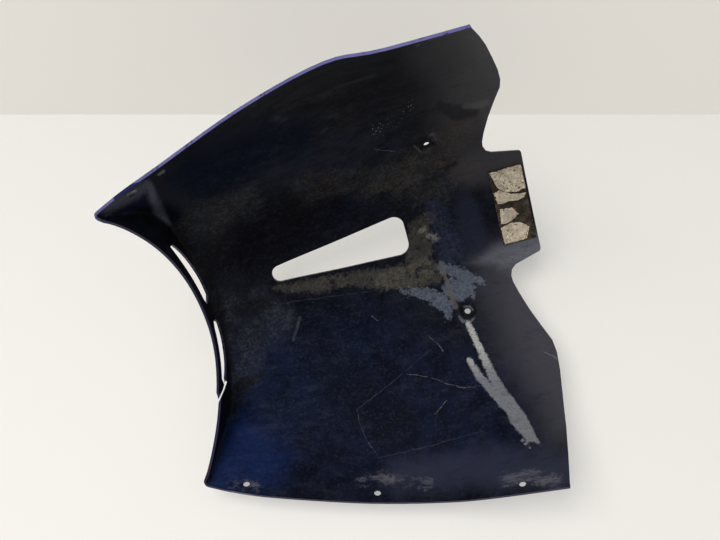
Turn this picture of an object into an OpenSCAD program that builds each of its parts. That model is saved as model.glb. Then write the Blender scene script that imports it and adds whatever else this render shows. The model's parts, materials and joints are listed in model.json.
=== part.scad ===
// Lower air deflector of a motorbike: one moulded shell, open at the top,
// with a slotted wall round the front arch and a mounting tab at the rear.
// X runs forward, Y to the left, Z up. The shell is the same left and right of Y = 0,
// apart from one crack in the strip outside the left slot.

/* [Shell] */
// Wall thickness of the moulding
wall = 2.4; // [1.8:0.1:3.2]
// Distance from the rear corners of the wings to the middle of the front wall
body_len = 296; // [270:1:330]
// Width over the two wings at the rear corners
body_w = 400; // [360:1:440]
// Depth of the keel below the wing edges, at the tab
body_d = 217; // [195:1:240]

/* [Front wall] */
// How far the front wall sweeps forward from the middle to its tips
front_sweep = 28; // [15:1:40]
// Radius inside the fold between the keel and the front wall
fold_r = 7; // [4:0.5:9]
// Height of the arch below the wing edges
arch_d = 69; // [62:1:76]
// Radius on the two front tips
tip_r = 5; // [2:0.5:7]

/* [Slots in the front wall] */
// Distance from the middle to the near end of each slot
slot_in = 10; // [8:0.5:16]
// Distance from the middle to the far end of each slot
slot_out = 77; // [65:1:82]
// Width of the crack through the strip outside the left slot
crack_w = 1.9; // [0.8:0.1:2.5]
// How far the loose end of that strip stands forward
strip_bend = 2.8; // [0:0.1:4]

/* [Keel opening] */
// Distance from the rear corners to the wide end of the opening
opening_x = 108; // [95:1:120]
// Length of the opening
opening_len = 141; // [120:1:150]
// Width of the opening at its wide end
opening_w = 43; // [32:1:50]
// Width of the opening at its narrow end
opening_tip_w = 18; // [12:1:24]
// Radius on the two corners of the wide end
opening_r = 11; // [6:0.5:14]

/* [Rear tab] */
// How far the tab reaches behind the rear corners
tab_len = 25; // [18:1:30]
// Width of the tab at its rear edge
tab_w = 112; // [100:1:120]
// Radius on the rear corners of the tab
tab_r = 4; // [2:0.5:8]

/* [Fixing holes] */
// Diameter of the clearance holes
hole_d = 6.4; // [5:0.1:8]
// Distance of the wing holes from the wing edge
hole_inset = 10.5; // [8:0.5:14]
// Rear wing hole, from the rear corners
hole_rear = 40; // [30:1:60]
// Middle wing hole, from the rear corners
hole_mid = 172; // [150:1:190]
// Front wing hole, from the rear corners
hole_front = 288; // [270:1:295]

/* [Screw recesses] */
// Distance of the screw recesses from the rear corners
recess_x = 62; // [50:1:75]
// Distance of each recess from the middle
recess_y = 88; // [80:1:96]
// Diameter of the recess at its mouth
recess_d = 19; // [16:0.5:24]
// Diameter of the flat seat in the recess
seat_d = 11; // [9:0.5:14]
// Depth of the seat below the inside face
recess_depth = 4.5; // [2:0.5:6]

/* [Foam pad on the tab] */
// Width of the pad across the tab
pad_w = 82; // [60:1:90]
// Length of the pad along the tab
pad_len = 35; // [20:1:36]
// Distance from the tab's rear edge to the pad
pad_gap = 2; // [1:0.5:6]
// Thickness of the black foam
pad_t = 1.2; // [0.8:0.1:3]
// Thickness of the torn facing on the foam
facing_t = 0.4; // [0.3:0.1:1]

/* [Hidden] */
$fn = 48;

shell_color = "#141a33";
foam_color = "#2b2620";
facing_color = "#b3a998";

// Middle of the whole part, which becomes its origin
CENTRE = [(body_len + front_sweep - tab_len) / 2 + 0.8, 0, -body_d / 2 - 1];

// Each length, width and depth in the tables below follows the overall sizes
lx = body_len / 296;
wy = body_w / 400;
dz = body_d / 217;

// Table of offsets, one row for each station along the keel:
// x, sweep, then y and z of the keel edge, bilge, mid wing, upper wing and wing edge
REAR = -34;
OFFSETS = [
    [REAR, 0, 50, -220, 100, -179, 150, -132, 180, -61, 198, 0],
    [62, 0, 46, -209, 92, -163, 146, -118, 182, -58, 198, -2],
    [110, 0, 38, -198, 88, -154, 142, -112, 184, -58, 200, -9],
    [180, 0, 29, -176, 78, -132, 128, -96, 169, -50, 184.5, -4.5],
    [248, 9, 21, -154.5, 62, -118, 108, -88, 144, -45, 158.5, 2.5],
    [276, 18, 30, -119, 70, -105, 107, -86, 132, -43, 146, 2.5],
    [296, 28, 40, -96, 84, -97, 112, -88, 123, -45, 134, 0]
];
// Free edge of the front wall, in the same columns
ARCH = [293.5, 26, 22, -1, 60, -0.89, 92, -0.66, 118, -0.3, 128, -0.07];

SPANS = len(OFFSETS) - 1;
ROWS_PER_SPAN = 5;
FOLD_STEPS = 4;
WALL_STEPS = 2;
COLS = 44;

// Value on a smooth curve through b and c, with a and d as its neighbours
function through(a, b, c, d, t) =
    b + 0.5 * t * (c - a + t * (2 * a - 5 * b + 4 * c - d + t * (3 * (b - c) + d - a)));

// Offsets at any place between the stations, u = 0 at the rear and SPANS at the front
function offsets_at(u) =
    let (i = min(floor(u), SPANS - 1), t = u - i)
    through(OFFSETS[max(i - 1, 0)], OFFSETS[i], OFFSETS[i + 1],
            OFFSETS[min(i + 2, SPANS)], t);

// Control points of one section, from the right wing edge to the left one
function section_points(o, arch = false) =
    let (half = [for (k = [2:2:10])
        let (y = o[k] * wy, z = arch ? o[k + 1] * arch_d : o[k + 1] * dz)
        [o[0] * lx + o[1] * front_sweep / 28 * pow(o[k] / o[10], 2), y, z]])
    concat([for (k = [4:-1:0]) [half[k].x, -half[k].y, half[k].z]], half);

// Point of a section, v = -1 at the right edge, 0 on the keel and 1 at the left edge
function section_at(p, v) =
    let (n = len(p) - 1, s = (v + 1) / 2 * n, i = min(floor(s), n - 1), t = s - i,
         a = i == 0 ? 2 * p[0] - p[1] : p[i - 1],
         d = i == n - 1 ? 2 * p[n] - p[n - 1] : p[i + 2])
    (a * pow(1 - t, 3) + p[i] * (3 * t * t * t - 6 * t * t + 4)
     + p[i + 1] * (-3 * t * t * t + 3 * t * t + 3 * t + 1) + d * t * t * t) / 6;

function unit(a) = a / norm(a);
function inside_at(u, v) = section_at(section_points(offsets_at(u)), v);

// Direction square to the inside face, pointing into the shell's hollow
function square_at(u, v) =
    unit(cross(inside_at(min(u + 0.05, SPANS), v) - inside_at(u - 0.05, v),
               inside_at(u, min(v + 0.02, 1)) - inside_at(u, v - 0.02)));

// Rows of points over the inside face: along the keel, round the fold, up the front wall
V = [for (j = [0:COLS]) 2 * j / COLS - 1];
HULL_ROWS = [for (i = [0:SPANS * ROWS_PER_SPAN - 2])
    let (p = section_points(offsets_at(i / ROWS_PER_SPAN))) [for (v = V) section_at(p, v)]];
FOLD_LINE = [for (v = V) inside_at(SPANS, v)];
ARCH_LINE = let (p = section_points(ARCH, true)) [for (v = V) section_at(p, v)];
LAST = HULL_ROWS[len(HULL_ROWS) - 1];
FOLD_ROWS = [for (i = [0:FOLD_STEPS]) let (t = i / FOLD_STEPS) [for (j = [0:COLS])
    let (s = FOLD_LINE[j], up = ARCH_LINE[j] - s, r = min(fold_r, 0.45 * norm(up)),
         a = s + r * unit(LAST[j] - s), b = s + r * unit(up))
    a * (1 - t) * (1 - t) + s * 2 * t * (1 - t) + b * t * t]];
// The strip outside the left slot leans forward towards the crack
crack_y = slot_out - 4;
function lean_at(y) =
    y > slot_in && y < crack_y ? strip_bend * pow((y - slot_in) / (crack_y - slot_in), 1.4) : 0;
WALL_ROWS = [for (i = [1:WALL_STEPS]) [for (j = [0:COLS])
    let (b = FOLD_ROWS[FOLD_STEPS][j], p = b + (ARCH_LINE[j] - b) * i / WALL_STEPS)
    p + [lean_at(p.y), 0, 0]]];
GRID = concat(HULL_ROWS, FOLD_ROWS, WALL_ROWS);
TOP_ROW = len(GRID) - 1;

function normal_of(i, j) =
    unit(cross(GRID[min(i + 1, TOP_ROW)][j] - GRID[max(i - 1, 0)][j],
               GRID[i][min(j + 1, COLS)] - GRID[i][max(j - 1, 0)]));

// Closed skin between two distances from the inside face, over the rows given
module skin(low, high, last_row = TOP_ROW) {
    n = COLS + 1;
    count = (last_row + 1) * n;
    bottom = [for (i = [0:last_row]) for (j = [0:COLS]) GRID[i][j] + low * normal_of(i, j)];
    top = [for (i = [0:last_row]) for (j = [0:COLS]) GRID[i][j] + high * normal_of(i, j)];
    top_faces = [for (i = [0:last_row - 1]) for (j = [0:COLS - 1])
        let (a = count + i * n + j, b = a + n) each [[a, a + 1, b + 1], [a, b + 1, b]]];
    bottom_faces = [for (i = [0:last_row - 1]) for (j = [0:COLS - 1])
        let (a = i * n + j, b = a + n) each [[a, b + 1, a + 1], [a, b, b + 1]]];
    rim = concat([for (j = [0:COLS]) j], [for (i = [1:last_row]) i * n + COLS],
                 [for (j = [COLS - 1:-1:0]) last_row * n + j],
                 [for (i = [last_row - 1:-1:1]) i * n]);
    rim_faces = [for (k = [0:len(rim) - 1])
        let (a = rim[k], b = rim[(k + 1) % len(rim)])
        each [[a, b, b + count], [a, b + count, a + count]]];
    polyhedron(points = concat(bottom, top), faces = concat(top_faces, bottom_faces, rim_faces));
}

// Rear outline seen from above: wing corner, bump, notch and the side of the tab
REAR_OUTLINE = [
    [-0.5, 197], [-5, 188], [-9, 178], [-13, 163], [-16, 150], [-17, 139], [-15.5, 131],
    [-8, 118], [0, 103], [7, 87], [10.5, 77], [11, 71], [9, 65.5], [4, 62]
];
module plan_outline() {
    far = body_len + 2 * front_sweep;
    half = concat([[far, body_w], [0.5, body_w], [0.5, 201 * wy]],
                  [for (p = REAR_OUTLINE) [p.x * lx, p.y * wy]],
                  [[-tab_len + tab_r, tab_w / 2],
                   for (a = [30:30:90]) [-tab_len + tab_r - tab_r * sin(a),
                                         tab_w / 2 - tab_r + tab_r * cos(a)]]);
    polygon(concat(half, [for (k = [len(half) - 1:-1:0]) [half[k].x, -half[k].y]]));
}

module keel_opening() {
    x0 = opening_x + opening_r;
    x1 = opening_x + opening_len - opening_tip_w / 2;
    translate([0, 0, -2 * body_d]) linear_extrude(3 * body_d) hull() {
        for (s = [-1, 1]) translate([x0, s * (opening_w / 2 - opening_r)]) circle(opening_r, $fn = 32);
        translate([x1, 0]) circle(opening_tip_w / 2, $fn = 32);
    }
}

// One slot of the front wall in Y and Z: flat along the fold, bowed under the arch
slot_mid = (slot_in + slot_out) / 2;
slot_low = -96 * dz;
slot_high = slot_low + 14;
function slot_low_at(t) = slot_low + 19 * pow(t, 3);
function slot_high_at(t) = slot_high + 12 * t;
module slot_outline() {
    steps = 12;
    reach = slot_out - slot_in;
    low = [for (i = [0:steps]) let (t = i / steps)
        [slot_in + reach * t, slot_low_at(t) + 4 * pow(max(0, 1 - t * steps), 2)]];
    high = [for (i = [steps:-1:0]) let (t = i / steps)
        [slot_in + reach * t, min(slot_high_at(t), slot_low_at(t) + 7 + 150 * (1 - t))
                              - 3 * pow(max(0, 1 - t * steps), 2)]];
    polygon(concat(low, high));
}

// Crack from the far end of the left slot to the free edge of the arch
module crack_outline() {
    z0 = slot_low_at(1) + 1;
    y0 = crack_y - 1.2;
    polygon([[y0 - 2, z0], [y0 + crack_w - 1, z0 - 2], [y0 + 1 + crack_w, z0 + 12],
             [y0 + 3 + crack_w, z0 + 40], [y0 + 3, z0 + 40], [y0 + 1, z0 + 12]]);
}

// Cuts an outline given in Y and Z through the front wall
module through_front() {
    translate([body_len - 7, 0, 0]) rotate([90, 0, 90]) linear_extrude(front_sweep + 25) children();
}

// Slants a cut through the front wall outwards and down, about the wall at the crack
module slanted() {
    out = 1.02;
    fall = 2.03;
    x = body_len + front_sweep * pow(crack_y / OFFSETS[SPANS][10], 2) - 1;
    multmatrix([[1, 0, 0, 0], [out, 1, 0, -out * x], [-fall, 0, 1, fall * x]]) children();
}

// Rounds the corners where the wing edges meet the front wall
module tip_rounding() {
    x = body_len + front_sweep;
    z = OFFSETS[SPANS][11] * dz;
    translate([x + wall - tip_r, 0, z - tip_r]) rotate([90, 0, 0])
        translate([0, 0, -body_w / 2]) difference() {
            cube([3 * tip_r, 3 * tip_r, body_w]);
            cylinder(r = tip_r, h = body_w);
        }
}

// Stands its children on the inside face, with their Z square to the face
module on_face(p, n) {
    translate(p) rotate([0, acos(n.z), atan2(n.y, n.x)]) children();
}

// Place on a wing from its distance from the rear corners and from the wing edge
function u_of(x, v) = lookup(x, [for (k = [0:SPANS * 10]) [inside_at(k / 10, v).x, k / 10]]);
function v_of_inset(u, d) = lookup(d, [for (k = [0:30]) let (v = 1 - k / 60)
    [norm(inside_at(u, v) - inside_at(u, 1)), v]]);
function v_of_y(u, y) = lookup(y, [for (k = [0:50]) [inside_at(u, k / 50).y, k / 50]]);

function wing_place(x) =
    let (u = u_of(x, 0.95), v = v_of_inset(u, hole_inset)) [inside_at(u, v), square_at(u, v)];
function recess_place() =
    let (u = u_of(recess_x, 0.5), v = v_of_y(u, recess_y)) [inside_at(u, v), square_at(u, v)];

WING_PLACES = [for (x = [hole_rear, hole_mid, hole_front]) wing_place(x)];
RECESS_PLACE = recess_place();

module both_sides() {
    children();
    mirror([0, 1, 0]) children();
}

module recess_body() {
    on_face(RECESS_PLACE[0], RECESS_PLACE[1]) translate([0, 0, -recess_depth - wall])
        cylinder(h = recess_depth + wall, d1 = seat_d + 2 * wall, d2 = recess_d + 2 * wall);
}

module recess_hollow() {
    over = 3;
    flare = (recess_d - seat_d) * over / recess_depth;
    on_face(RECESS_PLACE[0], RECESS_PLACE[1]) {
        translate([0, 0, -recess_depth])
            cylinder(h = recess_depth + over, d1 = seat_d, d2 = recess_d + flare);
        translate([0, 0, -recess_depth - 2 * wall]) cylinder(h = 3 * wall, d = hole_d);
    }
}

module wing_holes() {
    for (p = WING_PLACES) on_face(p[0], p[1])
        translate([0, 0, -3 * wall]) cylinder(h = 6 * wall, d = hole_d);
}

module deflector_shell() {
    color(shell_color) difference() {
        union() {
            intersection() {
                skin(-wall, 0);
                translate([0, 0, -2 * body_d]) linear_extrude(3 * body_d) plan_outline();
            }
            both_sides() recess_body();
        }
        keel_opening();
        both_sides() {
            recess_hollow();
            wing_holes();
            through_front() slot_outline();
        }
        slanted() through_front() crack_outline();
        tip_rounding();
    }
}

// Rows of the inside face that lie under the pad
PAD_ROWS = 7;

module foam_pad() {
    color(foam_color) intersection() {
        skin(0, pad_t, PAD_ROWS);
        translate([-tab_len + pad_gap, -pad_w / 2, -2 * body_d]) cube([pad_len, pad_w, 3 * body_d]);
    }
}

// Torn remains of the facing, as shares of the pad's length and width from its rear right corner
REMAINS = [
    [[0.95, 0.02], [0.02, 0.01], [0.01, 0.34], [0.33, 0.36], [0.6, 0.33], [0.81, 0.26]],
    [[0.97, 0.31], [0.78, 0.28], [0.47, 0.37], [0.04, 0.4], [0.09, 0.45], [0.31, 0.48],
     [0.6, 0.455], [0.75, 0.47], [0.91, 0.46]],
    [[0.89, 0.53], [0.7, 0.54], [0.52, 0.55], [0.37, 0.65], [0.56, 0.71], [0.69, 0.73], [0.94, 0.73]],
    [[0.97, 0.77], [0.67, 0.745], [0.5, 0.75], [0.37, 0.76], [0.14, 0.85], [0.28, 0.985],
     [0.62, 0.99], [0.97, 0.985]]
];

module pad_facing() {
    color(facing_color) intersection() {
        skin(pad_t, pad_t + facing_t, PAD_ROWS);
        translate([-tab_len + pad_gap, -pad_w / 2, -2 * body_d]) linear_extrude(3 * body_d)
            for (r = REMAINS) polygon([for (p = r) [p.x * pad_len, p.y * pad_w]]);
    }
}

translate(-CENTRE) deflector_shell();
translate(-CENTRE) foam_pad();
translate(-CENTRE) pad_facing();
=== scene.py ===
import json
import math
import bmesh
import bpy
import numpy as np
from mathutils import Matrix, Vector, noise
from mathutils.bvhtree import BVHTree


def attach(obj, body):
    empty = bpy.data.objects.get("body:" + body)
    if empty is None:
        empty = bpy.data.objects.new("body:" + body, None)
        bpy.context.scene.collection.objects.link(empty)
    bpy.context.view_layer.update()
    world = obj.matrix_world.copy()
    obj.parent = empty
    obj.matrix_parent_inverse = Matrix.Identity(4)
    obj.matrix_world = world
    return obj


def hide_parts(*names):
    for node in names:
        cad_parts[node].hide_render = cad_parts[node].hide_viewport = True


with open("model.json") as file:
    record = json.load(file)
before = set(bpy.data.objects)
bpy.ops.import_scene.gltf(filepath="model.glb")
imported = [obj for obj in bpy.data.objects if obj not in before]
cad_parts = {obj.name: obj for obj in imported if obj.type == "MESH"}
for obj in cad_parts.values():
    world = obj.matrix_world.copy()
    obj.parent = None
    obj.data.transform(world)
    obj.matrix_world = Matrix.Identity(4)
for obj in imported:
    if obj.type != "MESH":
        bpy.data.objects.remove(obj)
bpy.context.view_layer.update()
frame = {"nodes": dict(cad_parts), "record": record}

# ---- Viewpoint ------------------------------------------------------------
# The eye stands above the open side. The marks on the inside of the shell are
# laid out on the same fan of lines, in units of 1/750 of the distance ahead.
EYE = Vector((-0.1434, -0.2365, 0.6645))
RIGHT = Vector((-0.9575, 0.2669, -0.1094)).normalized()
DOWN = Vector((0.2108, 0.9065, 0.3659)).normalized()
AHEAD = RIGHT.cross(DOWN).normalized()
DOWN = AHEAD.cross(RIGHT).normalized()
FOCAL = 750.0
CENTRE = (360.0, 270.0)

camera_data = bpy.data.cameras.new("view")
camera_data.sensor_width = 36.0
camera_data.lens = 36.0 * FOCAL / 720.0
camera_data.clip_start = 0.01
camera_data.clip_end = 20.0
camera = bpy.data.objects.new("view", camera_data)
camera.matrix_world = Matrix((
    (RIGHT.x, -DOWN.x, -AHEAD.x, EYE.x),
    (RIGHT.y, -DOWN.y, -AHEAD.y, EYE.y),
    (RIGHT.z, -DOWN.z, -AHEAD.z, EYE.z),
    (0, 0, 0, 1),
))
bpy.context.scene.collection.objects.link(camera)
bpy.context.scene.camera = camera
bpy.context.scene.view_settings.view_transform = "Standard"


# ---- Shell -------------------------------------------------------------------
# One injection-moulded piece of thin black plastic, sprayed navy. The outside is
# glossy, and the inside has only overspray and years of road dust. Its paints come
# first, each made by a small maker of shader nodes, then its mesh.
MARKS = {}


def stored_distance(points, chains):
    """Distance of each point outside a mark's strokes, on the fan of lines from the eye."""
    q = points - np.array(EYE)
    depth = q @ np.array(AHEAD)
    at = np.stack([q @ np.array(RIGHT), q @ np.array(DOWN)], 1) / depth[:, None] * FOCAL + CENTRE
    best = np.full(len(at), 1e6)
    for c in chains:
        for (ax, ay, ar), (bx, by, br) in zip(c[:-1], c[1:]):
            a, ab = np.array((ax, ay)), np.array((bx - ax, by - ay))
            h = np.clip((at - a) @ ab / max(ab @ ab, 1e-6), 0, 1)
            d = np.linalg.norm(at - a - h[:, None] * ab, axis=1) - (ar + h * (br - ar))
            best = np.minimum(best, d)
    return best


class Maker:
    """Adds shader nodes to one material and links them."""

    def __init__(self, name):
        self.mat = bpy.data.materials.new(name)
        self.mat.use_nodes = True
        self.tree = self.mat.node_tree
        self.tree.nodes.clear()
        self.out = self.tree.nodes.new("ShaderNodeOutputMaterial")
        self.co = self.tree.nodes.new("ShaderNodeTexCoord").outputs["Object"]

    def put(self, socket, value):
        if isinstance(value, bpy.types.NodeSocket):
            self.tree.links.new(value, socket)
        elif isinstance(value, (tuple, list)) and socket.type == "RGBA":
            socket.default_value = (*value[:3], 1.0)
        else:
            socket.default_value = value

    def num(self, op, a, b=0.0, c=0.0, clamp=False):
        n = self.tree.nodes.new("ShaderNodeMath")
        n.operation = op
        n.use_clamp = clamp
        for socket, v in zip(n.inputs, (a, b, c)):
            self.put(socket, v)
        return n.outputs[0]

    def vec(self, op, a, b=(0, 0, 0), scale=1.0):
        n = self.tree.nodes.new("ShaderNodeVectorMath")
        n.operation = op
        self.put(n.inputs[0], a)
        if len(n.inputs) > 1:
            self.put(n.inputs[1], b)
        if op == "SCALE":
            self.put(n.inputs["Scale"], scale)
        return n.outputs["Value"] if op in ("DOT_PRODUCT", "LENGTH", "DISTANCE") else n.outputs[0]

    def xyz(self, x, y, z=0.0):
        n = self.tree.nodes.new("ShaderNodeCombineXYZ")
        for socket, v in zip(n.inputs, (x, y, z)):
            self.put(socket, v)
        return n.outputs[0]

    def split(self, v):
        n = self.tree.nodes.new("ShaderNodeSeparateXYZ")
        self.put(n.inputs[0], v)
        return n.outputs

    def noise(self, co, scale, detail=4.0, rough=0.55, colour=False, distort=0.0):
        n = self.tree.nodes.new("ShaderNodeTexNoise")
        self.put(n.inputs["Vector"], co)
        n.inputs["Scale"].default_value = scale
        n.inputs["Detail"].default_value = detail
        n.inputs["Roughness"].default_value = rough
        n.inputs["Distortion"].default_value = distort
        return n.outputs["Color" if colour else "Fac"]

    def voronoi(self, co, scale, feature="F1", rand=1.0):
        n = self.tree.nodes.new("ShaderNodeTexVoronoi")
        n.feature = feature
        self.put(n.inputs["Vector"], co)
        n.inputs["Scale"].default_value = scale
        n.inputs["Randomness"].default_value = rand
        return n.outputs["Distance"]

    def fade(self, v, lo, hi, out_lo=0.0, out_hi=1.0):
        n = self.tree.nodes.new("ShaderNodeMapRange")
        n.interpolation_type = "SMOOTHSTEP"
        for socket, x in zip(n.inputs, (v, lo, hi, out_lo, out_hi)):
            self.put(socket, x)
        return n.outputs[0]

    def mix(self, fac, a, b):
        n = self.tree.nodes.new("ShaderNodeMix")
        n.data_type = "RGBA"
        self.put(n.inputs["Factor"], fac)
        self.put(n.inputs["A"], a)
        self.put(n.inputs["B"], b)
        return [o for o in n.outputs if o.type == "RGBA"][0]

    def bump(self, height, distance, strength=1.0, normal=None):
        n = self.tree.nodes.new("ShaderNodeBump")
        n.inputs["Distance"].default_value = distance
        n.inputs["Strength"].default_value = strength
        self.put(n.inputs["Height"], height)
        if normal is not None:
            self.put(n.inputs["Normal"], normal)
        return n.outputs[0]

    def surface(self, colour, rough, specular=0.5, normal=None, coat=0.0, coat_rough=0.1, metal=0.0):
        n = self.tree.nodes.new("ShaderNodeBsdfPrincipled")
        self.put(n.inputs["Base Color"], colour)
        self.put(n.inputs["Roughness"], rough)
        self.put(n.inputs["Specular IOR Level"], specular)
        self.put(n.inputs["Metallic"], metal)
        self.put(n.inputs["Coat Weight"], coat)
        self.put(n.inputs["Coat Roughness"], coat_rough)
        if normal is not None:
            self.put(n.inputs["Normal"], normal)
        self.tree.links.new(n.outputs[0], self.out.inputs[0])
        return self.mat

    # Where a point of the inside face lies on the fan of lines from the eye
    def fan(self):
        q = self.vec("SUBTRACT", self.co, tuple(EYE))
        depth = self.vec("DOT_PRODUCT", q, tuple(AHEAD))
        u = self.num("DIVIDE", self.vec("DOT_PRODUCT", q, tuple(RIGHT)), depth)
        v = self.num("DIVIDE", self.vec("DOT_PRODUCT", q, tuple(DOWN)), depth)
        return self.xyz(self.num("MULTIPLY_ADD", u, FOCAL, CENTRE[0]),
                        self.num("MULTIPLY_ADD", v, FOCAL, CENTRE[1]))

    def shaken(self, at, scale, amount, detail=3.0):
        n = self.noise(at, scale, detail, 0.6, colour=True)
        return self.vec("ADD", at, self.vec("SCALE", self.vec("SUBTRACT", n, (0.5, 0.5, 0.5)), scale=2 * amount))

    # Mask of a broad mark, from its distance stored on the mesh, with a wandering edge
    def mark(self, name, chains, soft, wander=0.0, fray=0.0):
        MARKS[name] = chains
        n = self.tree.nodes.new("ShaderNodeAttribute")
        n.attribute_name = name
        d = n.outputs["Fac"]
        if wander:
            d = self.num("MULTIPLY_ADD", self.wander, 4 * wander, self.num("SUBTRACT", d, 2 * wander))
        if fray:
            d = self.num("MULTIPLY_ADD", self.fray, 4 * fray, self.num("SUBTRACT", d, 2 * fray))
        return self.fade(d, 0.0, soft, 1.0, 0.0)

    # Distance outside a chain of rounded strokes, each point given as (u, v, half width)
    def chain(self, at, points):
        best = None
        for (ax, ay, ar), (bx, by, br) in zip(points[:-1], points[1:]):
            if (ax, ay) == (bx, by):
                bx += 0.01
            length = (bx - ax) ** 2 + (by - ay) ** 2
            rel = self.vec("SUBTRACT", at, (ax, ay, 0))
            h = self.num("MULTIPLY", self.vec("DOT_PRODUCT", rel, (bx - ax, by - ay, 0)), 1.0 / length, clamp=True)
            near = self.vec("SCALE", (bx - ax, by - ay, 0), scale=h)
            d = self.vec("DISTANCE", rel, near)
            d = self.num("SUBTRACT", d, self.num("MULTIPLY_ADD", h, br - ar, ar))
            best = d if best is None else self.num("MINIMUM", best, d)
        return best

    def stroke(self, at, points, soft=3.0):
        return self.fade(self.chain(at, points), 0.0, soft, 1.0, 0.0)

    def strokes(self, at, chains, soft=1.0):
        best = None
        for c in chains:
            m = self.stroke(at, c, soft)
            best = m if best is None else self.num("MAXIMUM", best, m)
        return best

    def times(self, *v):
        out = v[0]
        for x in v[1:]:
            out = self.num("MULTIPLY", out, x, clamp=True)
        return out


def grey(r, g, b):
    """Colour as shown on a screen, 0 to 255, turned to scene light."""
    return tuple((c / 255 / 12.92) if c <= 10.3 else ((c / 255 + 0.055) / 1.055) ** 2.4 for c in (r, g, b))


# Paint inside the shell: dull navy overspray on a black moulding, dusted over: cloudy colour first, then
# the dust patches, the runs of grey filler below the recess, stains and scratches, with painted sheen, reflections,
# highlights and painted shade among them.
m = Maker("shell_inside")
m.wander = m.noise(m.co, 26.0, 4.0, 0.6)
m.fray = m.noise(m.co, 230.0, 5.0, 0.7)
fine = m.noise(m.co, 900.0, 3.0, 0.6)
cloud = m.noise(m.co, 16.0, 6.0, 0.62)
mottle = m.noise(m.co, 330.0, 7.0, 0.76)
blotch = m.noise(m.co, 48.0, 7.0, 0.7, distort=0.4)
brushed = m.noise(m.vec("MULTIPLY", m.co, (0.28, 1.0, 1.0)), 120.0, 7.0, 0.74)

colour = m.mix(m.fade(blotch, 0.34, 0.66), grey(8, 9, 18), grey(20, 23, 33))
mask = m.mark("grey_up", [[(250, 118, 8), (330, 95, 26), (420, 80, 34)]], 50.0, 8)
colour = m.mix(m.times(mask, m.fade(brushed, 0.36, 0.6)), colour, grey(29, 29, 34))
mask = m.mark("navy_low", [[(270, 410, 40), (360, 400, 60), (470, 420, 30)]], 70.0, 10)
colour = m.mix(m.times(mask, 0.85), colour, m.mix(m.fade(blotch, 0.34, 0.64), grey(4, 9, 25), grey(10, 19, 43)))
mask = m.mark("navy_left", [[(230, 440, 20), (290, 380, 24), (330, 360, 10)]], 44.0, 9)
colour = m.mix(m.times(mask, m.fade(brushed, 0.34, 0.6)), colour, grey(12, 22, 46))
mask = m.mark("dark_low", [[(300, 322, 4), (345, 385, 12), (396, 424, 8)]], 30.0, 10)
colour = m.mix(m.times(mask, 0.6), colour, grey(6, 10, 21))
mask = m.mark("blue_low", [[(218, 470, 8), (236, 448, 14), (262, 462, 8)]], 38.0, 6)
colour = m.mix(m.times(mask, m.num("MULTIPLY_ADD", m.fade(brushed, 0.38, 0.62), 0.5, 0.5)), colour, grey(17, 33, 74))
mask = m.mark("blue_up", [[(176, 200, 8), (200, 178, 10), (250, 150, 14), (300, 140, 8)], [(330, 215, 0), (345, 208, 1)]], 24.0, 9)
colour = m.mix(m.times(mask, m.fade(brushed, 0.3, 0.5)), colour, grey(6, 14, 33))
# Painted shade in the concave corner between the keel floor and the upper wing, above the opening
mask = m.mark("keel_shade_up", [[(215, 258, 3), (250, 240, 13), (330, 205, 6)]], 24.0, 6)
colour = m.mix(m.times(mask, 0.7), colour, grey(9, 7, 13))
mask = m.mark("sheen_up", [[(245, 192, 1), (285, 172, 5), (380, 140, 6)]], 22.0, 4)
colour = m.mix(m.times(mask, 0.6, m.fade(brushed, 0.3, 0.6)), colour, grey(34, 38, 50))

mask = m.mark("dark_up", [[(318, 102, 4), (378, 84, 7)], [(262, 210, 0), (300, 200, 1)]], 16.0, 6)
colour = m.mix(m.times(mask, 0.6), colour, grey(13, 13, 19))
mask = m.mark("scuff_up", [[(277, 118, 0.5), (285, 121, 1)], [(324, 133, 0), (335, 114, 1)], [(300, 104, 0), (372, 74, 0)]], 7.0, 2, 5)
colour = m.mix(m.times(mask, m.fade(brushed, 0.4, 0.6), 0.8), colour, grey(46, 48, 57))

# Painted reflection towards the rear: a grey veil painted lighter where the rear of the wings and the tab catch a
# broad glossy reflection
mask = m.mark("reflection_top", [[(452, 40, 4), (476, 62, 12), (488, 96, 12)]], 70.0, 6)
colour = m.mix(m.times(mask, 0.85), colour, grey(69, 68, 71))
mask = m.mark("reflection_low", [[(522, 282, 8), (550, 345, 8), (565, 420, -14)]], 62.0, 5)
colour = m.mix(m.times(mask, 0.85), colour, grey(66, 65, 74))
mask = m.mark("reflection_tab", [[(462, 263, -20), (503, 256, -2), (560, 247, 10)]], 24.0, 3)
colour = m.mix(m.times(mask, 0.9), colour, grey(98, 100, 109))
mask = m.mark("reflection_over_tab", [[(470, 168, 6), (492, 162, 8), (520, 152, 8)]], 24.0, 4)
colour = m.mix(m.times(mask, 0.85), colour, grey(60, 58, 62))
# A navy patch on the tab
mask = m.mark("navy_tab", [[(467, 204, 4), (474, 240, 6)]], 14.0, 3)
colour = m.mix(m.times(mask, 0.75), colour, grey(31, 35, 52))
# Painted reflection along the rear of the lower edge
mask = m.mark("reflection_edge", [[(400, 474, 0), (480, 468, 4), (560, 470, 4)]], 30.0, 8)
colour = m.mix(m.times(mask, 0.5), colour, grey(54, 57, 77))

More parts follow.
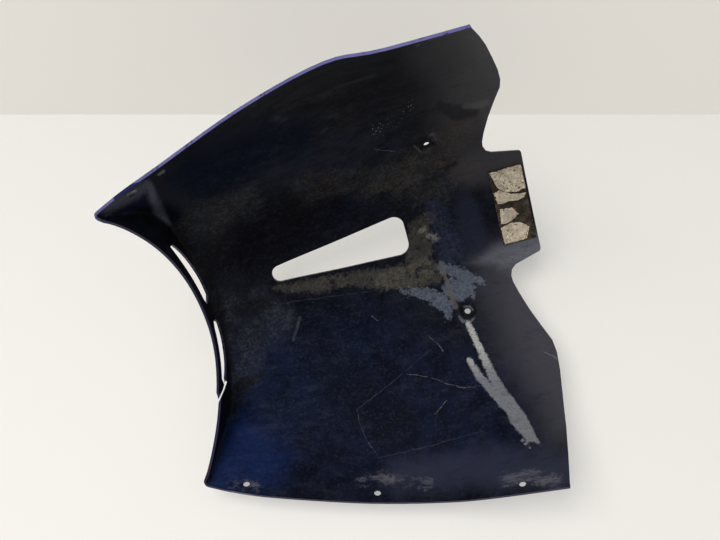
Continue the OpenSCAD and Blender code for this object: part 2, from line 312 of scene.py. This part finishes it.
# Brown dust on the upper wing and bluish grime between the opening and the fold
grain = m.fade(mottle, 0.42, 0.6)
patchy = m.fade(m.noise(m.co, 85.0, 5.0, 0.66), 0.36, 0.6)
worms = m.noise(m.co, 240.0, 5.0, 0.8, distort=1.4)
veins = m.fade(m.num("ABSOLUTE", m.num("SUBTRACT", worms, 0.5)), 0.004, 0.045, 1.0, 0.0)
dust_tone = m.mix(m.fade(m.noise(m.co, 60.0, 4.0, 0.6), 0.42, 0.58), grey(62, 57, 51), grey(58, 61, 68))
dusty = m.mark("dusty", [
    [(190, 220, 3), (215, 218, 10), (250, 198, 3)],
    [(300, 186, 1), (350, 184, 6), (395, 180, 12), (436, 162, 19), (464, 134, 10)],
    [(426, 182, 11), (452, 178, 7)],
], 16.0, 10, 5)
dusty = m.times(dusty, m.num("MULTIPLY_ADD", patchy, 0.7, 0.3))
colour = m.mix(m.times(dusty, m.num("MULTIPLY_ADD", grain, 0.72, 0.28)), colour, dust_tone)
mask = m.mark("dust_high", [[(376, 188, 3), (410, 172, 9), (445, 150, 13), (468, 132, 5)], [(456, 176, 3), (470, 164, 2)]], 9.0, 6, 6)
colour = m.mix(m.times(mask, m.num("MULTIPLY_ADD", m.times(grain, patchy), 0.62, 0.14)), colour, grey(80, 75, 68))
grime = m.mark("grime", [
    [(222, 300, 3), (240, 330, 16), (240, 366, 12), (228, 410, 0)],
    [(262, 300, 4), (280, 320, 8)],
], 16.0, 8, 5)
colour = m.mix(m.times(grime, m.num("MULTIPLY_ADD", m.times(grain, patchy), 0.78, 0.2)), colour, m.mix(0.7, dust_tone, grey(56, 65, 80)))
colour = m.mix(m.times(veins, m.num("MAXIMUM", dusty, grime), 0.6), colour, grey(12, 12, 17))

# Pale dust round the keel opening: the band below it and the patch behind it
band = m.mark("band", [
    [(274, 289, 1), (300, 287, 4), (345, 280, 5), (380, 277, 8), (410, 277, 12), (430, 274, 10)],
    [(416, 262, 10), (420, 245, 10), (420, 228, 7), (430, 217, 4)],
], 4.0, 3, 5)
colour = m.mix(m.times(band, m.num("MULTIPLY_ADD", m.times(grain, patchy), 0.6, 0.36)), colour, grey(86, 82, 73))
mask = m.mark("band_pale", [[(380, 281, 4), (402, 277, 6), (424, 268, 7)]], 7.0, 3, 4)
colour = m.mix(m.times(mask, m.num("MULTIPLY_ADD", grain, 0.4, 0.1)), colour, grey(112, 107, 96))
mask = m.mark("pale", [[(429, 236, 1.5), (436, 238, 2)], [(421, 231, 1), (424, 229, 1)]], 2.5, 0, 3)
colour = m.mix(m.times(mask, 0.9), colour, grey(120, 117, 110))
gap = m.fade(m.noise(m.co, 110.0, 6.0, 0.7), 0.53, 0.63)
colour = m.mix(m.times(band, gap, 0.85), colour, grey(21, 22, 29))
colour = m.mix(m.times(band, veins, 0.55), colour, grey(24, 23, 24))

# Blue grime behind the patch, then a blue-grey smear with a ragged edge
mask = m.mark("blue_smear", [[(434, 206, 0), (444, 230, 4), (450, 256, 4)]], 13.0, 5, 6)
colour = m.mix(m.times(mask, m.num("MULTIPLY_ADD", grain, 0.55, 0.2)), colour, grey(44, 52, 76))
smear = m.mark("smear", [
    [(444, 268, 3), (466, 277, 5), (484, 282, 0)],
    [(468, 288, 5), (474, 297, 0)],
    [(402, 290, 1), (428, 295, 6), (446, 305, 6), (449, 319, 1)],
    [(452, 288, 8), (460, 291, 8)],
], 2.4, 2, 5)
colour = m.mix(m.times(smear, m.num("MULTIPLY_ADD", grain, 0.5, 0.42)), colour, grey(94, 102, 118))
mask = m.mark("drip", [[(440, 262, 0.8), (447, 282, 1.5), (455, 306, 2.6)]], 1.6, 0, 1.5)
colour = m.mix(m.times(mask, 0.7), colour, grey(88, 84, 82))
# Painted shade round the upper recess, then painted highlights on its rim
mask = m.mark("high_recess_shade", [[(418, 147, 2), (427, 140, 3)]], 5.0, 1, 1)
colour = m.mix(m.times(mask, 0.85), colour, grey(16, 17, 22))
mask = m.mark("high_shine", [[(428, 136, 0), (434, 134, 0.8), (436, 139, 0.4)], [(414, 146, 0), (420, 151, 0.2)]], 1.8, 0, 0.6)
colour = m.mix(m.times(mask, 0.7), colour, grey(84, 84, 88))
# Painted shade in the lower recess, then painted highlights on its walls
recess_shade_mask = m.mark("recess", [[(466, 313, 8.4), (467, 313.5, 8.4)]], 2.4)
colour = m.mix(m.times(recess_shade_mask, 0.9), colour, grey(19, 20, 26))
mask = m.mark("recess_shine", [[(458.5, 316, 0.3), (463, 321.4, 1.0), (471, 321.4, 0.5), (475, 317, 0)], [(463.5, 306.4, 0.2), (469.5, 306.6, 0.6), (473, 310, 0.2)]], 1.4)
colour = m.mix(m.times(mask, 0.8), colour, grey(96, 97, 106))

# Grey runs below the recess, paler and drier at the top
run = m.mark("run", [
    [(468, 323, 1.3), (481, 351, 2.4), (495, 381, 3.2), (507, 401, 5.6), (519, 420, 7.4), (531, 437, 4.2)],
    [(522, 440, 0.2), (530, 448, -0.6)],
    [(532, 436, 2.0), (541, 445, -0.4)],
    [(469, 360, 1.6), (479, 376, 2.8), (492, 391, 2.8), (504, 404, 4)],
], 2.2, 0.4, 1.6)
low_run = m.fade(m.split(m.co)[1], 0.115, 0.15)
run_tone = m.mix(low_run, grey(190, 190, 188), grey(122, 125, 131))
run_tone = m.mix(m.times(m.fade(mottle, 0.4, 0.62), 0.4), run_tone, m.mix(0.5, run_tone, grey(150, 152, 158)))
run_tone = m.mix(m.times(m.fade(fine, 0.42, 0.6), 0.4), run_tone, grey(76, 78, 87))
colour = m.mix(m.times(run, m.num("MULTIPLY_ADD", grain, 0.14, 0.78)), colour, run_tone)

# Faint rubs round the lower holes and the rubbed strip at the tip; the rubbed ridge behind the tip with a painted
# highlight, painted highlights and shade at the front holes, and painted shade along the crease
mask = m.mark("rub", [
    [(362, 482, 0), (378, 478, 1), (430, 484, 0)],
    [(506, 480, 2), (530, 476, 2), (556, 482, 2)],
    [(232, 484, 0), (256, 486, 0)],
], 7.0, 0, 6)
colour = m.mix(m.times(mask, m.fade(brushed, 0.4, 0.6), 0.52), colour, grey(112, 112, 122))
mask = m.mark("tip_rub", [[(106, 212, 1), (122, 202, 2.5), (136, 194, 2.5), (146, 186, 2)]], 5.0, 0, 4)
colour = m.mix(m.times(mask, m.num("MULTIPLY_ADD", grain, 0.5, 0.4)), colour, grey(82, 83, 104))
mask = m.mark("tip_blue", [[(124, 212, 1), (142, 204, 2)]], 5.0, 0, 3)
colour = m.mix(m.times(mask, 0.75), colour, grey(24, 25, 60))
# Rub and painted highlight along the ridge behind the tip
mask = m.mark("tip_ridge_rub_and_highlight", [[(149, 183, -2), (153, 198, 0), (159, 211, 1), (168, 224, -2)]], 7.5, 1, 1.5)
colour = m.mix(m.times(mask, 0.95), colour, grey(92, 93, 110))
# Painted highlights on the rims of the two front holes, then painted shade inside the foremost one
mask = m.mark("tip_hole_highlights", [[(127.5, 195, 0.5), (132, 193, 0.9), (136, 191, 0.3)], [(158, 175, 0.3), (164, 171, 0.7)]], 1.6)
colour = m.mix(m.times(mask, 0.8), colour, grey(116, 116, 124))
mask = m.mark("tip_hole_shade", [[(129, 196.5, 0.6), (134, 194.5, 0.8)]], 1.2)
colour = m.mix(m.times(mask, 0.85), colour, grey(16, 16, 20))
# Painted shade along the fold crease and the inturned flange at the front
mask = m.mark("crease_shade", [
    [(140, 213, 1), (166, 230, 3), (190, 254, 4), (204, 276, 5), (213, 300, 7), (219, 332, 4)],
    [(219, 332, 4), (224, 370, 3), (223, 410, 3), (213, 452, 2), (206, 480, 1)],
], 7.0, 2, 2)
colour = m.mix(m.times(mask, 0.85), colour, grey(10, 9, 12))

# Wet-looking dark stain and its painted glint, reddish marks and painted shade of two shallow dents
mask = m.mark("stain", [[(440, 106, 3), (456, 113, 6), (474, 111, 4)]], 4.0, 0, 3)
colour = m.mix(m.times(mask, 0.85), colour, grey(24, 25, 30))
mask = m.mark("glint", [[(464, 107, 0), (478, 105, 2.0), (487, 102, 1.0)]], 4.0, 0, 1)
colour = m.mix(m.times(mask, 0.55), colour, grey(92, 92, 94))
mask = m.mark("red", [[(444, 169, 0.4), (456, 163, 1.0)]], 2.0, 0, 2)
colour = m.mix(m.times(mask, 0.85), colour, grey(34, 14, 12))
# Painted shade of two shallow dents near the fold
mask = m.mark("dent_shade", [[(238, 312, 1), (252, 308, 4), (268, 304, 2)], [(262, 374, 0), (242, 386, 4), (228, 408, 3)]], 7.0, 2, 4)
colour = m.mix(m.times(mask, 0.7), colour, grey(17, 16, 19))

# Thin scratches that come and go, and white specks below the upper edge
thin = m.shaken(m.fan(), 0.12, 1.6, 3.0)
come_and_go = m.fade(mottle, 0.3, 0.55)
scratch = m.strokes(thin, [
    [(407, 374, 0.0), (430, 377, -0.1), (445, 383, 0.0), (464, 388, 0.1), (480, 386, -0.2)],
    [(435, 414, 0.0), (442, 406, 0.1), (447, 400, -0.1)],
    [(357, 410, 0.0), (361, 428, -0.3), (370, 446, -0.05), (378, 455, -0.3)],
    [(428, 335, -0.1), (438, 344, 0.0), (443, 351, 0.2)],
    [(544, 352, -0.1), (552, 355, 0.3), (557, 359, 0.3)],
    [(375, 149, -0.1), (395, 152, 0.0)],
    [(372, 316, 0.0), (378, 321, -0.1)],
], 0.75)
colour = m.mix(m.times(scratch, m.num("MULTIPLY_ADD", come_and_go, 0.5, 0.08)), colour, grey(116, 118, 128))
faint = m.strokes(thin, [
    [(357, 410, 0.0), (395, 380, -0.1), (430, 350, -0.3)],
    [(378, 458, -0.1), (430, 446, 0.0), (485, 430, -0.3)],
    [(300, 318, 1.2), (293, 340, 0.6)],
    [(275, 304, -0.1), (380, 290, -0.2)],
], 1.0)
colour = m.mix(m.times(faint, come_and_go, 0.35), colour, grey(80, 84, 96))
mask = m.mark("specks", [[(371, 132, 3), (382, 129, 5), (393, 122, 3)], [(401, 117, 0), (412, 103, 1)]], 5.0, 1)
speck = m.fade(m.voronoi(m.co, 400.0), 0.12, 0.24, 1.0, 0.0)
colour = m.mix(m.times(speck, mask, m.fade(m.fray, 0.44, 0.5)), colour, grey(172, 174, 172))
stray = m.times(m.fade(m.voronoi(m.co, 190.0), 0.035, 0.07, 1.0, 0.0), m.fade(mottle, 0.5, 0.56))
colour = m.mix(m.times(stray, 0.55), colour, grey(92, 95, 104))
colour = m.mix(m.times(m.fade(mottle, 0.48, 0.64), m.num("MULTIPLY_ADD", patchy, 0.3, 0.12)), colour, grey(45, 49, 62))
colour = m.mix(m.times(m.fade(brushed, 0.52, 0.66), 0.32), colour, grey(42, 44, 52))
colour = m.mix(m.times(m.fade(brushed, 0.46, 0.3), 0.35), colour, grey(4, 5, 10))

matt = m.num("MAXIMUM", m.num("MAXIMUM", dusty, band), m.num("MAXIMUM", smear, m.num("SUBTRACT", run, recess_shade_mask)))
rough = m.num("MULTIPLY_ADD", matt, 0.2, m.num("MULTIPLY_ADD", recess_shade_mask, -0.22, m.num("MULTIPLY_ADD", blotch, 0.2, 0.36)))
relief = m.num("ADD", m.num("MULTIPLY", fine, 0.3),
               m.num("MULTIPLY_ADD", run, 1.6, m.num("MULTIPLY", m.num("MULTIPLY", band, mottle), 1.2)))
shell_inside = m.surface(colour, rough, 0.12, m.bump(relief, 0.00025, 0.6))

# Paint outside the shell: glossy dark navy lacquer with faint orange peel, fine swirls and dulled wear
# along the keel, where the outside of the shell is lowest.
m = Maker("shell_outside")
peel = m.noise(m.co, 420.0, 2.0, 0.5)
cloud = m.noise(m.co, 14.0, 4.0, 0.55)
low = m.fade(m.split(m.co)[2], -0.112, -0.06, 1.0, 0.0)
scuff = m.times(low, m.fade(m.noise(m.vec("MULTIPLY", m.co, (0.35, 2.0, 1.0)), 130.0, 5.0, 0.7), 0.52, 0.66))
colour = m.mix(cloud, grey(14, 16, 70), grey(22, 24, 92))
colour = m.mix(m.times(scuff, 0.45), colour, grey(74, 76, 92))
rough = m.num("MULTIPLY_ADD", scuff, 0.3, m.num("MULTIPLY_ADD", cloud, 0.06, 0.2))
shell_outside = m.surface(colour, rough, 0.5, m.bump(peel, 0.00012, 0.35), 0.7, 0.06)

# Edge of the moulding: the paint wraps over the cut edges, thin enough to look violet, and is chipped
# to the dark plastic here and there.
m = Maker("shell_edge")
chips = m.fade(m.noise(m.co, 160.0, 5.0, 0.7), 0.56, 0.64)
across = m.split(m.co)[1]
colour = m.mix(m.noise(m.co, 30.0, 3.0), grey(30, 27, 52), grey(40, 36, 74))
# Painted highlight: the edge of the upper wing, whose rim faces the lamps, is a paler lit copy of the same violet
# paint
colour = m.mix(m.fade(across, -0.11, -0.15), colour, m.mix(m.noise(m.co, 60.0, 4.0), grey(66, 66, 126), grey(112, 112, 158)))
colour = m.mix(m.times(chips, 0.7), colour, grey(26, 24, 30))
shell_edge = m.surface(colour, m.num("MULTIPLY_ADD", chips, 0.3, 0.35), 0.4)

# Mesh of the shell: one smooth, merged copy of the moulding. Each face takes the inside, outside or
# edge paint from the way it looks: into the hollow, away from it or along the wall.
shell_node = frame["nodes"]["deflector_shell"]
hole_places = [Vector(h["pos_m"]) for h in frame["record"]["mounts"]]
work = bmesh.new()
work.from_mesh(shell_node.data)
bmesh.ops.remove_doubles(work, verts=work.verts, dist=2e-6)
bmesh.ops.dissolve_degenerate(work, edges=work.edges, dist=2e-6)
work.normal_update()
tree = BVHTree.FromBMesh(work)
for face in work.faces:
    face.smooth = True
    c = face.calc_center_median()
    heart = Vector((max(-0.14, min(0.06, c.x)), 0.0, 0.115))
    look = face.normal.dot((heart - c).normalized())
    behind = tree.ray_cast(c - face.normal * 1e-5, -face.normal)[3]
    hole_gap = min((c - p).length for p in hole_places)
    if behind is not None and behind < 0.0034:
        face.material_index = 0 if look > 0 else 1
    elif hole_gap < 0.0055:
        face.material_index = 0
    elif hole_gap < 0.016 and abs(c.y) < 0.16:
        face.material_index = 0 if look > 0 else 1
    else:
        face.material_index = 2
for e in work.edges:
    if len(e.link_faces) != 2 or e.calc_face_angle(0.0) > math.radians(38):
        e.smooth = False
mesh = bpy.data.meshes.new("shell")
work.to_mesh(mesh)
work.free()
for material in (shell_inside, shell_outside, shell_edge):
    mesh.materials.append(material)
shell = bpy.data.objects.new("shell", mesh)
bpy.context.scene.collection.objects.link(shell)

# Even shading first, then finer faces on the inside that keep that shading, so the
# distances of the marks can be stored on their corners
weighted = shell.modifiers.new("even_shading", "WEIGHTED_NORMAL")
weighted.mode = "FACE_AREA_WITH_ANGLE"
weighted.keep_sharp = True
seen = shell.evaluated_get(bpy.context.evaluated_depsgraph_get()).data
soft = [Vector(n.vector) for n in seen.corner_normals]
shell.modifiers.remove(weighted)
work = bmesh.new()
work.from_mesh(mesh)
layer = work.loops.layers.float_vector.new("soft")
k = 0
for face in work.faces:
    for loop in face.loops:
        loop[layer] = soft[k]
        k += 1
for step in range(6):
    long_edges = [e for e in work.edges if e.calc_length() > 0.0042
                  and any(f.material_index == 0 for f in e.link_faces)]
    if not long_edges:
        break
    bmesh.ops.subdivide_edges(work, edges=long_edges, cuts=1)
    bmesh.ops.triangulate(work, faces=[f for f in work.faces if len(f.verts) > 3])
work.to_mesh(mesh)
work.free()
normals = np.zeros(len(mesh.loops) * 3, np.float32)
mesh.attributes["soft"].data.foreach_get("vector", normals)
normals = normals.reshape(-1, 3)
normals /= np.maximum(np.linalg.norm(normals, axis=1, keepdims=True), 1e-9)
mesh.attributes.remove(mesh.attributes["soft"])
mesh.normals_split_custom_set(normals.tolist())
points = np.zeros(len(mesh.vertices) * 3, np.float32)
mesh.vertices.foreach_get("co", points)
points = points.reshape(-1, 3).astype(float)
for name, chains in MARKS.items():
    mesh.attributes.new(name, "FLOAT", "POINT").data.foreach_set(
        "value", stored_distance(points, chains).astype(np.float32))
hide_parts("deflector_shell")
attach(shell, "root")

# ---- Foam pad -----------------------------------------------------------------
# Black foam gone hard, with brown glue showing through and a crumbled surface. The
# mesh is a finer copy of the pad, pitted and eaten at its edges.
m = Maker("pad_foam")
crumb = m.noise(m.co, 700.0, 5.0, 0.75)
glue = m.fade(m.noise(m.co, 150.0, 6.0, 0.7, distort=0.4), 0.44, 0.62)
colour = m.mix(glue, grey(40, 37, 34), grey(80, 71, 60))
colour = m.mix(m.times(m.fade(crumb, 0.5, 0.66), 0.6), colour, grey(96, 86, 70))
colour = m.mix(m.times(m.fade(crumb, 0.46, 0.34), 0.7), colour, grey(20, 19, 19))
pad_foam = m.surface(colour, 0.85, 0.2, m.bump(m.num("ADD", crumb, glue), 0.0006, 0.9))


def worn_copy(node, name, material, edge, ragged, relief, rate):
    """Finer copy of a thin piece: its outline wanders, its faces are rough, its box holds."""
    work = bmesh.new()
    work.from_mesh(node.data)
    bmesh.ops.remove_doubles(work, verts=work.verts, dist=2e-6)
    for step in range(8):
        long_edges = [e for e in work.edges if e.calc_length() > edge]
        if not long_edges:
            break
        bmesh.ops.subdivide_edges(work, edges=long_edges, cuts=1)
        bmesh.ops.triangulate(work, faces=[f for f in work.faces if len(f.verts) > 3])
    work.normal_update()
    low = [min(v.co[k] for v in work.verts) for k in range(3)]
    high = [max(v.co[k] for v in work.verts) for k in range(3)]
    moved = []
    for v in work.verts:
        shift = noise.turbulence_vector(v.co * rate, 3, False) * ragged
        bumps = v.normal * (relief * (noise.turbulence(v.co * rate * 2.5, 3, False) - 0.6))
        p = v.co + shift + bumps
        moved.append([min(max(p[k], low[k]), high[k]) for k in range(3)])
    for v, p in zip(work.verts, moved):
        v.co = p
    for face in work.faces:
        face.smooth = True
    for e in work.edges:
        if len(e.link_faces) == 2 and e.calc_face_angle(0.0) > math.radians(45):
            e.smooth = False
    data = bpy.data.meshes.new(name)
    work.to_mesh(data)
    work.free()
    data.materials.append(material)
    obj = bpy.data.objects.new(name, data)
    bpy.context.scene.collection.objects.link(obj)
    return obj


pad = worn_copy(frame["nodes"]["foam_pad"], "pad", pad_foam, 0.0016, 0.0003, 0.0003, 420.0)
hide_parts("foam_pad")
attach(pad, "root")

# ---- Torn facing of the pad ------------------------------------------------------
# Dirty off-white film, cracked and fibrous at the tears, speckled and stained brown.
m = Maker("pad_facing")
fibre = m.noise(m.vec("MULTIPLY", m.co, (1.0, 0.25, 1.0)), 900.0, 5.0, 0.75)
dirt = m.noise(m.co, 110.0, 7.0, 0.75)
colour = m.mix(m.fade(dirt, 0.36, 0.62), grey(156, 142, 123), grey(213, 201, 179))
cracks = m.fade(m.voronoi(m.shaken(m.co, 300.0, 0.002), 190.0, "DISTANCE_TO_EDGE"), 0.02, 0.07, 1.0, 0.0)
colour = m.mix(m.times(cracks, m.fade(dirt, 0.44, 0.6), 0.75), colour, grey(104, 88, 70))
colour = m.mix(m.times(m.fade(m.noise(m.co, 420.0, 6.0, 0.76), 0.54, 0.64), 0.75), colour, grey(96, 80, 64))
colour = m.mix(m.times(m.fade(fibre, 0.45, 0.7), 0.45), colour, grey(226, 217, 200))
pad_cloth = m.surface(colour, 0.9, 0.15, m.bump(m.num("ADD", fibre, dirt), 0.0007, 0.9))

facing = worn_copy(frame["nodes"]["pad_facing"], "facing", pad_cloth, 0.0011, 0.0007, 0.00025, 330.0)
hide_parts("pad_facing")
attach(facing, "root")

# ---- Stage ----------------------------------------------------------------------
# Pale floor and wall, tilted as the part lies on one wing. They show from above
# only, so the outside of the part can be looked at from below.
TILT = math.radians(60.5)
UP = (-math.cos(TILT) * DOWN - math.sin(TILT) * AHEAD).normalized()
BACK = RIGHT.cross(UP).normalized()
if BACK.dot(AHEAD) < 0:
    BACK = -BACK
floor_height = min(Vector(v.co).dot(UP) for v in mesh.vertices)


def seen_at(u, v):
    """Point of the floor on the line of sight through (u, v)."""
    ray = (AHEAD + RIGHT * ((u - CENTRE[0]) / FOCAL) + DOWN * ((v - CENTRE[1]) / FOCAL)).normalized()
    return EYE + ray * ((floor_height - EYE.dot(UP)) / ray.dot(UP))


def stage_plane(name, centre, side, along, half_w, half_h, colour, lift):
    data = bpy.data.meshes.new(name)
    plane = bmesh.new()
    corners = [plane.verts.new(centre + side * (sx * half_w) + along * (sy * half_h))
               for sx, sy in ((-1, -1), (1, -1), (1, 1), (-1, 1))]
    plane.faces.new(corners)
    plane.to_mesh(data)
    plane.free()
    s = Maker(name)
    rough_tone = s.noise(s.co, 2.2, 3.0, 0.5)
    tone = s.mix(rough_tone, colour, tuple(c * 0.97 for c in colour))
    s.surface(s.mix(0.42, tone, (0.0, 0.0, 0.0)), 0.62, 0.15)
    glow = s.out.inputs[0].links[0].from_node
    s.put(glow.inputs["Emission Color"], tone)
    ray = s.tree.nodes.new("ShaderNodeLightPath").outputs
    seen = s.num("MAXIMUM", ray["Is Camera Ray"], s.num("MAXIMUM", ray["Is Glossy Ray"], ray["Is Transmission Ray"]))
    s.put(glow.inputs["Emission Strength"], s.num("MULTIPLY", seen, lift))
    shader = s.out.inputs[0].links[0].from_socket
    facing_away = s.tree.nodes.new("ShaderNodeNewGeometry").outputs["Backfacing"]
    clear = s.tree.nodes.new("ShaderNodeBsdfTransparent")
    both = s.tree.nodes.new("ShaderNodeMixShader")
    s.put(both.inputs[0], facing_away)
    s.tree.links.new(shader, both.inputs[1])
    s.tree.links.new(clear.outputs[0], both.inputs[2])
    s.tree.links.new(both.outputs[0], s.out.inputs[0])
    data.materials.append(s.mat)
    obj = bpy.data.objects.new(name, data)
    bpy.context.scene.collection.objects.link(obj)
    return obj


corner = seen_at(CENTRE[0], 114.5)
stage_plane("floor", corner - BACK * 2.0, RIGHT, -BACK if RIGHT.cross(-BACK).dot(UP) > 0 else BACK,
            4.0, 2.0, grey(243, 241, 237), 0.4)
stage_plane("wall", corner + UP * 1.0, RIGHT, UP if RIGHT.cross(UP).dot(BACK) < 0 else -UP,
            4.0, 1.0, grey(232, 229, 222), 0.56)

# ---- Light ------------------------------------------------------------------------
# One broad soft lamp high on the left, a weak one from the right, and a dim room.
target = Vector((0.0, 0.02, -0.03))


def lamp(name, place, size, power, tint):
    data = bpy.data.lights.new(name, "AREA")
    data.shape = "SQUARE"
    data.size = size
    data.energy = power
    data.color = tint
    obj = bpy.data.objects.new(name, data)
    obj.location = place
    obj.rotation_euler = (target - place).to_track_quat("-Z", "Y").to_euler()
    bpy.context.scene.collection.objects.link(obj)
    return obj


key = lamp("key", target + (UP * 1.5 - RIGHT * 0.6 - BACK * 0.25).normalized() * 3.0, 2.0, 76.0, (1.0, 0.985, 0.95))
key.visible_glossy = False
lamp("side", target + (UP * 0.8 + RIGHT * 1.2 + BACK * 0.5).normalized() * 1.6, 0.9, 2.6, (0.95, 0.97, 1.0))
lamp("under", target - (UP * 1.2 + BACK * 0.6).normalized() * 1.7, 1.4, 12.0, (1.0, 1.0, 1.0))

world = bpy.data.worlds.new("room")
bpy.context.scene.world = world
world.use_nodes = True
tree = world.node_tree
tree.nodes.clear()
output = tree.nodes.new("ShaderNodeOutputWorld")
kind_of_ray = tree.nodes.new("ShaderNodeLightPath")
shades = []
for tint, strength in (((0.9, 0.89, 0.87, 1), 0.5), ((0.9, 0.9, 0.92, 1), 0.2), ((*grey(232, 229, 223), 1), 1.0)):
    shade = tree.nodes.new("ShaderNodeBackground")
    shade.inputs["Color"].default_value = tint
    shade.inputs["Strength"].default_value = strength
    shades.append(shade)
glossy = tree.nodes.new("ShaderNodeMixShader")
pick = tree.nodes.new("ShaderNodeMixShader")
tree.links.new(kind_of_ray.outputs["Is Glossy Ray"], glossy.inputs[0])
tree.links.new(shades[0].outputs[0], glossy.inputs[1])
tree.links.new(shades[1].outputs[0], glossy.inputs[2])
shown = tree.nodes.new("ShaderNodeMath")
shown.operation = "MAXIMUM"
tree.links.new(kind_of_ray.outputs["Is Camera Ray"], shown.inputs[0])
tree.links.new(kind_of_ray.outputs["Is Transmission Ray"], shown.inputs[1])
tree.links.new(shown.outputs[0], pick.inputs[0])
tree.links.new(glossy.outputs[0], pick.inputs[1])
tree.links.new(shades[2].outputs[0], pick.inputs[2])
tree.links.new(pick.outputs[0], output.inputs[0])
